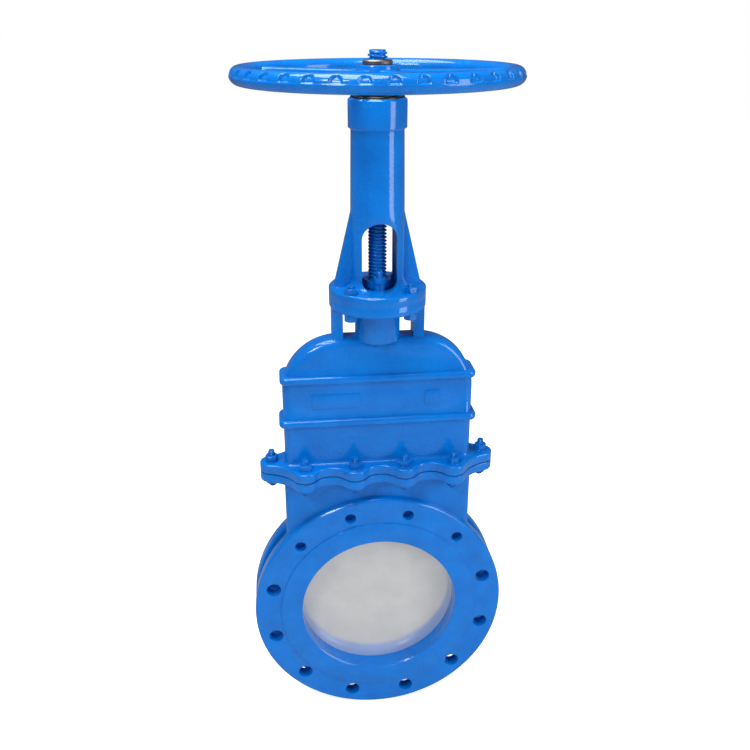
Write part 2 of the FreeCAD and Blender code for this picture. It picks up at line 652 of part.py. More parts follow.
def make_bonnet_joint():
    sheet = lobed_face().makeOffset2D(-num("gasket_inset")).extrude(Vector(0, 0, num("gasket_th")))
    sheet.translate(Vector(0, 0, num("joint_z")))
    outer = solid("gasket_outer", sheet)
    holes = stud_holes("gasket_stud_holes", "joint_z - 1", "gasket_th + 2")
    inner = block("gasket_inner", "-room_r", "room_r", "room_front", "room_back", "joint_z - 1", "hood_z + 1")
    finish(cut("gasket_sheet", outer, [inner, holes]), "bonnet_gasket")
    washer_z = "lobe_top"
    washer = turned("washer_pattern", (("stud_d / 2 + 0.3", washer_z), ("washer_d / 2", washer_z),
                                       ("washer_d / 2", washer_z + " + washer_th"),
                                       ("stud_d / 2 + 0.3", washer_z + " + washer_th")))
    put(washer, "0", "0", "0")
    finish(copies("washers", washer, stud_places()), "bonnet_washers")
    bore = num("stud_d / 2 + fit_gap")
    upper = hexagon("upper_nut_pattern", "nut_af", "nut_h", bore, "lobe_top + washer_th")
    finish(copies("upper_nuts", upper, stud_places()), "bonnet_nuts_upper")
    lower = hexagon("lower_nut_pattern", "nut_af", "nut_h", bore, "lobe_foot - nut_h")
    finish(copies("lower_nuts", lower, stud_places()), "bonnet_nuts_lower")
    rod = turned("stud_pattern", (("0", "lobe_foot - nut_h - 4"), ("stud_d / 2", "lobe_foot - nut_h - 4"),
                                  ("stud_d / 2", "lobe_top + washer_th + nut_h + stud_over - 1"),
                                  ("stud_d / 2 - 1", "lobe_top + washer_th + nut_h + stud_over"),
                                  ("0", "lobe_top + washer_th + nut_h + stud_over")))
    put(rod, "0", "0", "0")
    finish(copies("studs", rod, stud_places()), "bonnet_studs")


# ---------------------------------------------------------------- stem packing
def make_packing():
    hole = "stem_d / 2 + run_gap"
    bush = turned("bush", ((hole, "packing_z"), ("packing_d / 2 - fit_gap", "packing_z"),
                           ("packing_d / 2 - fit_gap", "packing_z + bush_len"),
                           (hole, "packing_z + bush_len")))
    finish(bush, "packing_bush")
    rings = []
    for i in range(int(num("ring_count"))):
        foot = "packing_z + bush_len + %d * ring_len" % i
        rings.append(turned("packing_%d" % (i + 1), (
            (hole, foot), ("packing_d / 2 - fit_gap", foot),
            ("packing_d / 2 - fit_gap", foot + " + ring_len - 0.2"), (hole, foot + " + ring_len - 0.2"))))
    stack = doc.addObject("Part::Compound", "packing_stack")
    stack.Links = rings
    finish(stack, "packing_rings")
    spigot = turned("gland_spigot", ((hole, "packing_z + bush_len + ring_count * ring_len"),
                                     ("packing_d / 2 - 0.2", "packing_z + bush_len + ring_count * ring_len"),
                                     ("packing_d / 2 - 0.2", "gland_z + 1"), (hole, "gland_z + 1")))
    ears = [cylinder("gland_ear_" + side, "gland_stud_d / 2 + 3", "gland_th",
                     y="mid_y %s (gland_r - 1)" % sign, z="gland_z")
            for side, sign in (("front", "-"), ("back", "+"))]
    waist = cylinder("gland_waist", "packing_d / 2 + 1.5", "gland_th", z="gland_z")
    bridge = block("gland_bridge", "-gland_stud_d / 2 - 3", "gland_stud_d / 2 + 3", "mid_y - gland_r + 1",
                   "mid_y + gland_r - 1", "gland_z", "gland_z + gland_th")
    holes = [cylinder("gland_ear_hole_" + side, "gland_stud_d / 2 + 0.3", "gland_th + 2",
                      y="mid_y %s gland_r" % sign, z="gland_z - 1")
             for side, sign in (("front", "-"), ("back", "+"))]
    stem_hole = cylinder("gland_stem_hole", hole, "gland_th + 2", z="gland_z - 1")
    blank = fuse("gland_blank", [spigot, waist, bridge] + ears)
    finish(cut("gland_piece", blank, holes + [stem_hole]), "gland_follower")
    places = polar(num("gland_r"), (90, 270), num("mid_y"))
    stud = cylinder("gland_stud_pattern", "gland_stud_d / 2 - fit_gap",
                    "gland_z + gland_th + gland_nut_h + 9 - disc_foot - 3", y="0", z="disc_foot + 3")
    finish(copies("gland_stud_pair", stud, places), "gland_studs")
    nut = hexagon("gland_nut_pattern", "gland_nut_af", "gland_nut_h", num("gland_stud_d / 2"),
                  "gland_z + gland_th")
    finish(copies("gland_nut_pair", nut, places), "gland_nuts")


# ---------------------------------------------------------------- yoke
def make_yoke():
    column = turned("column", (
        ("tube_bore / 2", "disc_top"), ("disc_d / 2", "disc_top"), ("disc_d / 2", "yoke_foot - 2"),
        ("disc_d / 2 - 2", "yoke_foot"), ("tube_d / 2", "yoke_foot"), ("tube_d / 2", "yoke_foot + wing_len"),
        ("tube_top_d / 2", "collar_foot - 1"), ("tube_top_d / 2", "collar_foot"),
        ("collar_d / 2", "collar_foot + collar_chamfer"), ("collar_d / 2", "collar_top - collar_chamfer"),
        ("collar_d / 2 - collar_chamfer", "collar_top"), ("chamber_d / 2", "collar_top"),
        ("chamber_d / 2", "collar_foot"), ("nut_barrel_d / 2 + 2", "collar_foot"),
        ("nut_barrel_d / 2 + 2", "collar_foot - web_th"), ("tube_bore / 2", "collar_foot - web_th")))
    ring = cylinder("cove_ring", "tube_d / 2 + cove_r", "cove_r", z="yoke_foot")
    torus = doc.addObject("Part::Torus", "cove_torus")
    bind(torus, {"Radius1": "tube_d / 2 + cove_r", "Radius2": "cove_r"})
    put(torus, "0", "mid_y", "yoke_foot + cove_r")
    cove_bore = cylinder("cove_bore", "tube_bore / 2 + 1", "cove_r + 2", z="yoke_foot - 1")
    cove = cut("cove", ring, [torus, cove_bore])
    wings = [plate("wing_" + side, ((sign + "(tube_bore / 2 + 2)", "yoke_foot - 1"),
                                    (sign + "wing_out", "yoke_foot - 1"),
                                    (sign + "wing_out", "yoke_foot + 4"),
                                    (sign + "(tube_d / 2 - 0.5)", "yoke_foot + wing_len"),
                                    (sign + "(tube_bore / 2 + 2)", "yoke_foot + wing_len")), "wing_th")
             for side, sign in (("left", "-"), ("right", "1 * "))]
    reach = "disc_d / 2"
    y0, y1 = "mid_y - " + reach, "mid_y + " + reach
    arch = cylinder("window_arch", "window_w / 2", "disc_d", y=y0, z="yoke_foot + window_len", along="Y")
    wide = block("window_wide", "-window_w / 2", "window_w / 2", y0, y1, "yoke_foot + window_corner",
                 "yoke_foot + window_len")
    sill = block("window_sill", "-window_w / 2 + window_corner", "window_w / 2 - window_corner", y0, y1,
                 "yoke_foot", "yoke_foot + window_corner")
    corners = [cylinder("window_corner_" + side, "window_corner", "disc_d", x=x, y=y0,
                        z="yoke_foot + window_corner", along="Y")
               for side, x in (("left", "-window_w / 2 + window_corner"),
                               ("right", "window_w / 2 - window_corner"))]
    rod = cylinder("yoke_flange_rod", "stud_d / 2 + 0.5", "yoke_flange_th + 2", y="0", z="disc_top - 1")
    bolts = copies("yoke_bolt_holes", rod,
                   polar(num("yoke_bolt_circle") / 2, (45, 135, 225, 315), num("mid_y")))
    spot = cylinder("yoke_spot_rod", "nut_af * 0.6 + 1.5", "cove_r + 4", y="0", z="yoke_foot")
    spots = copies("yoke_spot_faces", spot,
                   polar(num("yoke_bolt_circle") / 2, (45, 135, 225, 315), num("mid_y")))
    blank = fuse("yoke_blank", [column, cove] + wings)
    finish(cut("yoke_casting", blank, [arch, wide, sill, bolts, spots] + corners), "yoke")


def make_yoke_bolts():
    places = polar(num("yoke_bolt_circle") / 2, (45, 135, 225, 315), num("mid_y"))
    head = hexagon("yoke_bolt_head", "nut_af", "nut_h + 2", 0, "disc_foot - nut_h - 2")
    shank = cylinder("yoke_bolt_shank", "stud_d / 2", "disc_th + yoke_flange_th + nut_h + 5", y="0",
                     z="disc_foot - 1")
    finish(copies("yoke_bolt_set", fuse("yoke_bolt_pattern", [head, shank]), places), "yoke_bolts")
    nut = hexagon("yoke_nut_pattern", "nut_af", "nut_h", num("stud_d / 2 + fit_gap"), "yoke_foot")
    finish(copies("yoke_nut_set", nut, places), "yoke_nuts")


# ---------------------------------------------------------------- drive
def make_stem_nut():
    hole = "stem_d / 2 + run_gap"
    blank = turned("stem_nut_blank", (
        (hole, "collar_foot - web_th - 12"), ("nut_barrel_d / 2", "collar_foot - web_th - 12"),
        ("nut_barrel_d / 2", "nut_collar_z"), ("nut_collar_d / 2", "nut_collar_z"),
        ("nut_collar_d / 2", "race_high"), ("nut_neck_d / 2", "race_high"), ("nut_neck_d / 2", "hub_top"),
        ("nut_thread_d / 2", "hub_top"), ("nut_thread_d / 2", "nut_top"), (hole, "nut_top")))
    finish(cut("stem_nut_piece", blank, [key_seat("nut_key_seat", "fit_gap")]), "stem_nut")


def key_seat(name, gap):
    """The space of the wheel key, half in the stem nut and half in the hub."""
    low = "mid_y + nut_neck_d / 2 - key_h / 2"
    return block(name, "-key_w / 2 - " + gap, "key_w / 2 + " + gap, "%s - %s" % (low, gap),
                 "%s + key_h + %s" % (low, gap), "hub_top - key_len - " + gap, "hub_top + " + gap)


def make_bearings():
    out, low_in, high_in = "chamber_d / 2 - 0.5", "nut_barrel_d / 2", "nut_neck_d / 2"
    gap = "fit_gap"

    def race(name, inner, outer, foot):
        return turned(name, ((inner, foot), (outer, foot), (outer, foot + " + race_th"),
                             (inner, foot + " + race_th")))
    fixed = [race("race_fixed_low", low_in + " + 1", out, "race_low"),
             race("race_fixed_high", high_in + " + 1", out, "race_high + race_th + ball_d + 2 * " + gap)]
    turning = [race("race_turning_low", low_in + " + " + gap, out + " - 1", "nut_collar_z - race_th"),
               race("race_turning_high", high_in + " + " + gap, out + " - 1", "race_high")]
    for label, pair in (("bearing_races_fixed", fixed), ("bearing_races_turning", turning)):
        group = doc.addObject("Part::Compound", label + "_pair")
        group.Links = pair
        finish(group, label)
    ball = doc.addObject("Part::Sphere", "ball_pattern")
    bind(ball, {"Radius": "ball_d / 2 - 0.05"})
    angles = [360 * i / num("ball_count") for i in range(int(num("ball_count")))]
    places = []
    for foot in ("race_low", "race_high"):
        height = num(foot + " + race_th + ball_d / 2 + fit_gap")
        places += polar(num("ball_circle") / 2, angles, num("mid_y"), height)
    finish(copies("ball_set", ball, places), "bearing_balls")


def make_bearing_cap():
    cap = turned("cap_ring", (
        ("nut_neck_d / 2 + 0.3", "cap_foot"), ("chamber_d / 2 - fit_gap", "cap_foot"),
        ("chamber_d / 2 - fit_gap", "collar_top"), ("cap_d / 2", "collar_top"),
        ("cap_d / 2", "collar_top + cap_th - 1"), ("cap_d / 2 - 1", "collar_top + cap_th"),
        ("cap_neck_d / 2", "collar_top + cap_th"), ("cap_neck_d / 2", "cap_top"),
        ("nut_neck_d / 2 + 0.3", "cap_top")))
    finish(cap, "bearing_cap")


def make_handwheel():
    rim = doc.addObject("Part::Torus", "wheel_rim")
    bind(rim, {"Radius1": "rim_r", "Radius2": "rim_d / 2"})
    put(rim, "0", "mid_y", "rim_z")
    hub = cylinder("wheel_hub", "hub_d / 2", "hub_len", z="hub_foot")
    spoke = block("wheel_spoke", "hub_d / 2 - 6", "rim_r", "-spoke_w / 2", "spoke_w / 2",
                  "rim_z - spoke_th / 2", "rim_z + spoke_th / 2")
    doc.recompute()
    spokes = []
    for i in range(int(num("spoke_count"))):
        shape = spoke.Shape.copy()
        shape.rotate(Vector(), Vector(0, 0, 1), 5 + 360 * i / num("spoke_count"))
        shape.translate(Vector(0, num("mid_y"), 0))
        spokes.append(solid("wheel_spoke_%d" % (i + 1), shape))
    bore = cylinder("wheel_bore", "nut_neck_d / 2 + fit_gap", "hub_len + 2", z="hub_foot - 1")
    blank = fuse("wheel_blank", [rim, hub] + spokes)
    finish(cut("wheel_casting", blank, [bore, key_seat("hub_key_seat", "fit_gap")]), "handwheel")
    finish(key_seat("key", "0"), "wheel_key")
    nut = turned("round_nut", (
        ("nut_thread_d / 2 + fit_gap", "hub_top"), ("lock_nut_d / 2 - 1", "hub_top"),
        ("lock_nut_d / 2", "hub_top + 1"), ("lock_nut_d / 2", "nut_top - 1.5"),
        ("lock_nut_d / 2 - 1.5", "nut_top"), ("nut_thread_d / 2 + fit_gap", "nut_top")))
    finish(nut, "wheel_lock_nut")


# ---------------------------------------------------------------- build, check and write
make_valve_body()
make_seats()
make_guides()
make_gate()
make_stem()
make_bonnet()
make_bonnet_joint()
make_packing()
make_yoke()
make_yoke_bolts()
make_stem_nut()
make_bearings()
make_bearing_cap()
make_handwheel()
doc.recompute()

for thing in doc.Objects:
    if "Invalid" in thing.State or "Error" in thing.State:
        raise RuntimeError("%s did not recompute: %s" % (thing.Name, thing.State))
for thing in sub_parts:
    shape = thing.Shape
    if shape.isNull() or not shape.isValid() or not shape.Solids:
        raise RuntimeError("%s has no valid solid" % thing.Label)
    shape.exportStep("parts/%s.step" % thing.Label)
    print("%-24s %2d solids  %10.0f mm3" % (thing.Label, len(shape.Solids), shape.Volume))
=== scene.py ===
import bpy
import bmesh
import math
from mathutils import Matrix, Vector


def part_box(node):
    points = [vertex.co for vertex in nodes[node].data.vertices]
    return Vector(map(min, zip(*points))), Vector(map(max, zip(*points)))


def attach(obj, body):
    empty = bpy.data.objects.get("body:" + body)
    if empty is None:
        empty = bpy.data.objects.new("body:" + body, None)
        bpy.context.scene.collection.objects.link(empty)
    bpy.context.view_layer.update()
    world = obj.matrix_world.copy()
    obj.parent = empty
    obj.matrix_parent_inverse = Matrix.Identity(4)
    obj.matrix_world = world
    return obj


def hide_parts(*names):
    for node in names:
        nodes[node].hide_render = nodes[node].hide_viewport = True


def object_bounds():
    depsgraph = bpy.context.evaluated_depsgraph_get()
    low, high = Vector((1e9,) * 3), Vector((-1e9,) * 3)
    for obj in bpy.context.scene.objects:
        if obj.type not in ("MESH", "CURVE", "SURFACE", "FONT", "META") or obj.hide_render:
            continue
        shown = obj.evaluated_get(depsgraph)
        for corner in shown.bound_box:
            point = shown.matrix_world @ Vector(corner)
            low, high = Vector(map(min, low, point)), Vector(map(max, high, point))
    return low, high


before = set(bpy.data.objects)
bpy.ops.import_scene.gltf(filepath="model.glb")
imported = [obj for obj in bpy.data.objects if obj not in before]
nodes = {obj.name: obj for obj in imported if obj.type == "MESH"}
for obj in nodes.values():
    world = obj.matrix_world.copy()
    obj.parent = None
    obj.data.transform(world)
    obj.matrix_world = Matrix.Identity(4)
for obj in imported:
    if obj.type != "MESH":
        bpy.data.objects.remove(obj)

# %% [markdown]
# # A flanged knife gate valve
#
# A knife gate valve shuts a pipe with a flat steel plate. The plate slides down between two pipe flanges,
# inside a narrow cast body. A screw pulls it up into a hood, and a handwheel turns the nut on that screw.
#
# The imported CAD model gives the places, so each step first asks it where a piece is, and then decides how
# the piece is shown: as the CAD node itself with a material, or as a finer mesh in its place.
# Lengths are in metres. X runs across the valve, +Y along the pipe and +Z up the stem.

cad_low, cad_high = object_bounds()
MM = 0.001
MERGE = 2e-6
print("CAD box", [round(v, 4) for v in cad_low], [round(v, 4) for v in cad_high])

# %% [markdown]
# ## Where things are
#
# The stem axis, the joints between castings and the fastener places all come from the CAD boxes, so a
# change there moves everything made below.

# %% Read the main places from the CAD nodes
def middle(node):
    """The centre of a CAD node's box."""
    low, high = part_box(node)
    return (Vector(low) + Vector(high)) / 2


stem_low, stem_high = (Vector(corner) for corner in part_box("stem"))
AXIS_Y = middle("stem").y
STEM_R = (stem_high.x - stem_low.x) / 2
wheel_low, wheel_high = (Vector(corner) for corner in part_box("handwheel"))
WHEEL_R = (wheel_high.x - wheel_low.x) / 2
disc_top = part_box("yoke")[0][2]
print("stem axis y %.4f, stem radius %.4f, wheel radius %.4f" % (AXIS_Y, STEM_R, WHEEL_R))

# %% [markdown]
# ## Mesh helpers
#
# Turned pieces are one outline swept round the stem axis.

# %% Make a mesh object, and turn an outline round the stem axis
def put(name, data):
    """An object for a mesh, light or camera, linked into the scene."""
    thing = bpy.data.objects.new(name, data)
    bpy.context.scene.collection.objects.link(thing)
    return thing


def new_piece(name, vertices, faces, sharp=35):
    """A mesh object with outward faces, smooth except at edges sharper than the angle."""
    mesh = bpy.data.meshes.new(name)
    mesh.from_pydata(vertices, [], faces)
    tidy(mesh)
    mesh.shade_smooth()
    mesh.set_sharp_from_angle(angle=math.radians(sharp))
    return put(name, mesh)


def tidy(mesh):
    """Merges doubled points and turns all faces outwards."""
    work = bmesh.new()
    work.from_mesh(mesh)
    bmesh.ops.remove_doubles(work, verts=work.verts, dist=MERGE)
    bmesh.ops.recalc_face_normals(work, faces=work.faces)
    work.to_mesh(mesh)
    work.free()


def close_ends(work):
    """Fills every open loop of edges in a mesh being edited."""
    bmesh.ops.holes_fill(work, edges=[edge for edge in work.edges if edge.is_boundary], sides=0)


def turned(name, outline, around=96, centre=(0.0, None), sharp=35):
    """A closed outline of (radius, height) pairs, turned about a vertical axis."""
    x0, y0 = centre[0], AXIS_Y if centre[1] is None else centre[1]
    count = len(outline)
    vertices, faces = [], []
    for i in range(around):
        turn = 2 * math.pi * i / around
        vertices += [(x0 + r * math.cos(turn), y0 + r * math.sin(turn), z) for r, z in outline]
        for k in range(count):
            j, m = (i + 1) % around, (k + 1) % count
            faces.append((i * count + k, j * count + k, j * count + m, i * count + m))
    return new_piece(name, vertices, faces, sharp)


# %% [markdown]
# ## Surface effects shared by the materials
#
# Three small node groups give values only. *Casting* makes the faint waves of a sand casting under paint
# and the finer orange peel of the paint itself. *Colour drift* makes slow light and dark patches.
# *Fine grain* makes the short scratches of rolled or turned metal.

# %% Build the shared shader groups
def shader_group(name, inputs, outputs):
    """An empty shader group with named sockets; returns the tree, its input node and its output node."""
    tree = bpy.data.node_groups.new(name, "ShaderNodeTree")
    for label, kind, value in inputs:
        socket = tree.interface.new_socket(label, in_out="INPUT", socket_type="NodeSocket" + kind)
        if value is not None:
            socket.default_value = value
    for label, kind in outputs:
        tree.interface.new_socket(label, in_out="OUTPUT", socket_type="NodeSocket" + kind)
    return tree, tree.nodes.new("NodeGroupInput"), tree.nodes.new("NodeGroupOutput")


def add(tree, kind, sockets=None, **settings):
    """A node with its settings, and its sockets set to a value or linked from another socket."""
    node = tree.nodes.new(kind)
    for key, value in settings.items():
        setattr(node, key, value)
    for key, value in (sockets or {}).items():
        if isinstance(value, bpy.types.NodeSocket):
            tree.links.new(value, node.inputs[key])
        else:
            node.inputs[key].default_value = value
    return node


def maths(tree, operation, first, second=0.0, third=0.0):
    """One step of arithmetic in a tree."""
    return add(tree, "ShaderNodeMath", {0: first, 1: second, 2: third}, operation=operation).outputs[0]


def casting_group():
    """Faint waves and a finer orange peel, as a height."""
    tree, start, end = shader_group("Casting", (("Wave", "Float", 0.3), ("Peel", "Float", 0.1)),
                                    (("Height", "Float"),))
    place = add(tree, "ShaderNodeTexCoord").outputs["Object"]
    wave = add(tree, "ShaderNodeTexNoise", {"Vector": place, "Scale": 55.0, "Detail": 2.0})
    peel = add(tree, "ShaderNodeTexNoise", {"Vector": place, "Scale": 280.0, "Detail": 2.0})
    big = maths(tree, "MULTIPLY", wave.outputs["Fac"], start.outputs["Wave"])
    small = maths(tree, "MULTIPLY", peel.outputs["Fac"], start.outputs["Peel"])
    tree.links.new(maths(tree, "ADD", big, small), end.inputs["Height"])
    return tree


def drift_group():
    """Slow patches between a light and a dark colour."""
    tree, start, end = shader_group("Colour drift", (
        ("Light", "Color", (1, 1, 1, 1)), ("Dark", "Color", (0, 0, 0, 1)), ("Scale", "Float", 20.0)),
        (("Color", "Color"), ("Fac", "Float")))
    place = add(tree, "ShaderNodeTexCoord").outputs["Object"]
    noise = add(tree, "ShaderNodeTexNoise", {
        "Vector": place, "Scale": start.outputs["Scale"], "Detail": 4.0})
    spread = add(tree, "ShaderNodeMapRange", {
        "Value": noise.outputs["Fac"], "From Min": 0.35, "From Max": 0.65})
    blend = add(tree, "ShaderNodeMix", {"Factor": spread.outputs[0]}, data_type="RGBA")
    tree.links.new(start.outputs["Light"], blend.inputs[6])
    tree.links.new(start.outputs["Dark"], blend.inputs[7])
    tree.links.new(blend.outputs[2], end.inputs["Color"])
    tree.links.new(spread.outputs[0], end.inputs["Fac"])
    return tree


def grain_group():
    """Short fine scratches, as a value."""
    tree, start, end = shader_group("Fine grain", (
        ("Stretch", "Vector", (1, 1, 1)), ("Scale", "Float", 900.0)), (("Fac", "Float"),))
    place = add(tree, "ShaderNodeTexCoord").outputs["Object"]
    stretched = add(tree, "ShaderNodeVectorMath", {0: place, 1: start.outputs["Stretch"]},
                    operation="MULTIPLY")
    noise = add(tree, "ShaderNodeTexNoise", {
        "Vector": stretched.outputs[0], "Scale": start.outputs["Scale"], "Detail": 3.0})
    tree.links.new(noise.outputs["Fac"], end.inputs["Fac"])
    return tree


CASTING, DRIFT, GRAIN = casting_group(), drift_group(), grain_group()
print("shader groups", [tree.name for tree in (CASTING, DRIFT, GRAIN)])

# %% [markdown]
# ## Materials
#
# The whole valve was painted after it was put together, nuts and studs too, with a glossy medium blue
# enamel. Only the gate, the lock nut, the bearing cap and the inner pieces keep their own surface.
# Each material sets its plain numbers on the shader itself and takes only what varies from the groups.

# %% Build the materials
def new_material(name):
    """A material with its node tree and its main shader."""
    material = bpy.data.materials.new(name)
    material.use_nodes = True
    return material, material.node_tree, material.node_tree.nodes["Principled BSDF"]


def group(tree, shared, sockets=None):
    """One of the shared groups placed in a tree, with its own values."""
    node = tree.nodes.new("ShaderNodeGroup")
    node.node_tree = shared
    for key, value in (sockets or {}).items():
        node.inputs[key].default_value = value
    return node


def enamel(name, light, dark, wave, peel, depth):
    """Glossy paint over a casting."""
    material, tree, shader = new_material(name)
    tone = group(tree, DRIFT, {"Light": light, "Dark": dark, "Scale": 22.0})
    tree.links.new(tone.outputs["Color"], shader.inputs["Base Color"])
    relief = group(tree, CASTING, {"Wave": wave, "Peel": peel})
    bump = add(tree, "ShaderNodeBump", {
        "Height": relief.outputs["Height"], "Strength": 1.0, "Distance": depth})
    tree.links.new(bump.outputs[0], shader.inputs["Normal"])
    gloss = add(tree, "ShaderNodeMapRange", {"Value": tone.outputs["Fac"], "To Min": 0.30, "To Max": 0.40})
    tree.links.new(gloss.outputs[0], shader.inputs["Roughness"])
    shader.inputs["Specular IOR Level"].default_value = 0.06
    shader.inputs["Coat Weight"].default_value = 0.9
    shader.inputs["Coat Roughness"].default_value = 0.09
    return material


def metal(name, light, dark, rough, grain_scale=900.0, depth=0.03 * MM, metallic=1.0):
    """Bare metal with a fine grain."""
    material, tree, shader = new_material(name)
    tone = group(tree, DRIFT, {"Light": light, "Dark": dark, "Scale": 30.0})
    grain = group(tree, GRAIN, {"Scale": grain_scale})
    tree.links.new(tone.outputs["Color"], shader.inputs["Base Color"])
    shade = add(tree, "ShaderNodeMapRange", {
        "Value": grain.outputs["Fac"], "To Min": rough * 0.8, "To Max": rough * 1.2})
    tree.links.new(shade.outputs[0], shader.inputs["Roughness"])
    bump = add(tree, "ShaderNodeBump", {
        "Height": grain.outputs["Fac"], "Strength": 1.0, "Distance": depth})
    tree.links.new(bump.outputs[0], shader.inputs["Normal"])
    shader.inputs["Metallic"].default_value = metallic
    return material


def dull(name, light, dark, rough):
    """Rubber, fibre or plastic."""
    return metal(name, light, dark, rough, 300.0, 0.2 * MM, metallic=0.0)


BLUE = enamel("Blue enamel", (0.0002, 0.168, 0.61, 1), (0.0001, 0.140, 0.54, 1),
              wave=1.0, peel=0.42, depth=1.8 * MM)
SMALL_BLUE = enamel("Blue enamel on fasteners", (0.0003, 0.155, 0.58, 1), (0.0002, 0.11, 0.46, 1),
                    wave=0.1, peel=0.1, depth=0.4 * MM)
GATE_STEEL = metal("Gate plate", (0.84, 0.84, 0.83, 1), (0.78, 0.78, 0.77, 1), 0.14, 650.0,
                   depth=0.05 * MM, metallic=0.6)
STEEL = metal("Machined steel", (0.50, 0.50, 0.49, 1), (0.36, 0.36, 0.35, 1), 0.32)
NUT_STEEL = metal("Lock nut steel", (0.30, 0.27, 0.25, 1), (0.16, 0.13, 0.11, 1), 0.45)
BRONZE = metal("Bronze", (0.60, 0.38, 0.16, 1), (0.45, 0.26, 0.10, 1), 0.35)
BLACK = metal("Blackened steel", (0.012, 0.013, 0.016, 1), (0.006, 0.006, 0.008, 1), 0.35, 600.0,
              metallic=0.2)
RUBBER = dull("Rubber", (0.02, 0.02, 0.02, 1), (0.012, 0.012, 0.012, 1), 0.6)
FIBRE = dull("Gasket fibre", (0.03, 0.05, 0.09, 1), (0.015, 0.03, 0.06, 1), 0.7)
PLASTIC = dull("Guide plastic", (0.75, 0.73, 0.68, 1), (0.66, 0.64, 0.58, 1), 0.45)
print(len(bpy.data.materials), "materials")


def paint(thing, material):
    """Gives a piece or a CAD node one material."""
    thing.data.materials.clear()
    thing.data.materials.append(material)
    return thing


# %% [markdown]
# ## The three castings
#
# Body, bonnet and yoke are sand castings: every edge was rounded by the pattern and again by the paint.
# A copy of the CAD mesh is merged, its flat areas are cleaned, and a narrow bevel rounds all the edges.

# %% Round the edges of the castings
EDGE_R = 1.2 * MM
FLAT_ANGLE, BEVEL_ANGLE, SHADE_ANGLE = math.radians(0.6), math.radians(32), math.radians(40)


def cast_piece(name, node, body, radius):
    """A copy of a CAD node with its edges rounded by a bevel."""
    mesh = nodes[node].data.copy()
    work = bmesh.new()
    work.from_mesh(mesh)
    bmesh.ops.remove_doubles(work, verts=work.verts, dist=MERGE)
    bmesh.ops.dissolve_limit(work, angle_limit=FLAT_ANGLE, verts=work.verts, edges=work.edges)
    work.to_mesh(mesh)
    work.free()
    raw = put(name + "_raw", mesh)
    bevel = raw.modifiers.new("Edges", "BEVEL")
    bevel.width = radius
    bevel.segments = 2
    bevel.limit_method = "ANGLE"
    bevel.angle_limit = BEVEL_ANGLE
    bevel.use_clamp_overlap = True
    graph = bpy.context.evaluated_depsgraph_get()
    final = bpy.data.meshes.new_from_object(raw.evaluated_get(graph))
    bpy.data.objects.remove(raw)
    final.shade_smooth()
    final.set_sharp_from_angle(angle=SHADE_ANGLE)
    piece = put(name, final)
    paint(piece, BLUE)
    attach(piece, body)
    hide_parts(node)
    print(name, len(final.polygons), "faces")
    return piece


for cast_name, cast_node in (("body_casting", "valve_body"), ("bonnet_casting", "bonnet"),
                             ("yoke_casting", "yoke")):
    cast_piece(cast_name, cast_node, "valve_frame", EDGE_R)

# %% [markdown]
# ## Threads
#
# A thread is a cylinder whose surface rises and falls along a helix. One Geometry Nodes tree bends a flat
# grid into a cylinder: its rows run up the rod and its columns run round it. The height above the root
# depends only on how far a point is from the helix, so the tree serves the stem's left-hand trapezoidal
# thread and the studs' right-hand one.

# %% Build the thread tree
def geometry_tree(name, inputs):
    """A geometry tree with named inputs and one geometry output."""
    tree = bpy.data.node_groups.new(name, "GeometryNodeTree")
    for label, kind, value in inputs:
        socket = tree.interface.new_socket(label, in_out="INPUT", socket_type="NodeSocket" + kind)
        if value is not None:
            socket.default_value = value
    tree.interface.new_socket("Geometry", in_out="OUTPUT", socket_type="NodeSocketGeometry")
    return tree, tree.nodes.new("NodeGroupInput"), tree.nodes.new("NodeGroupOutput")


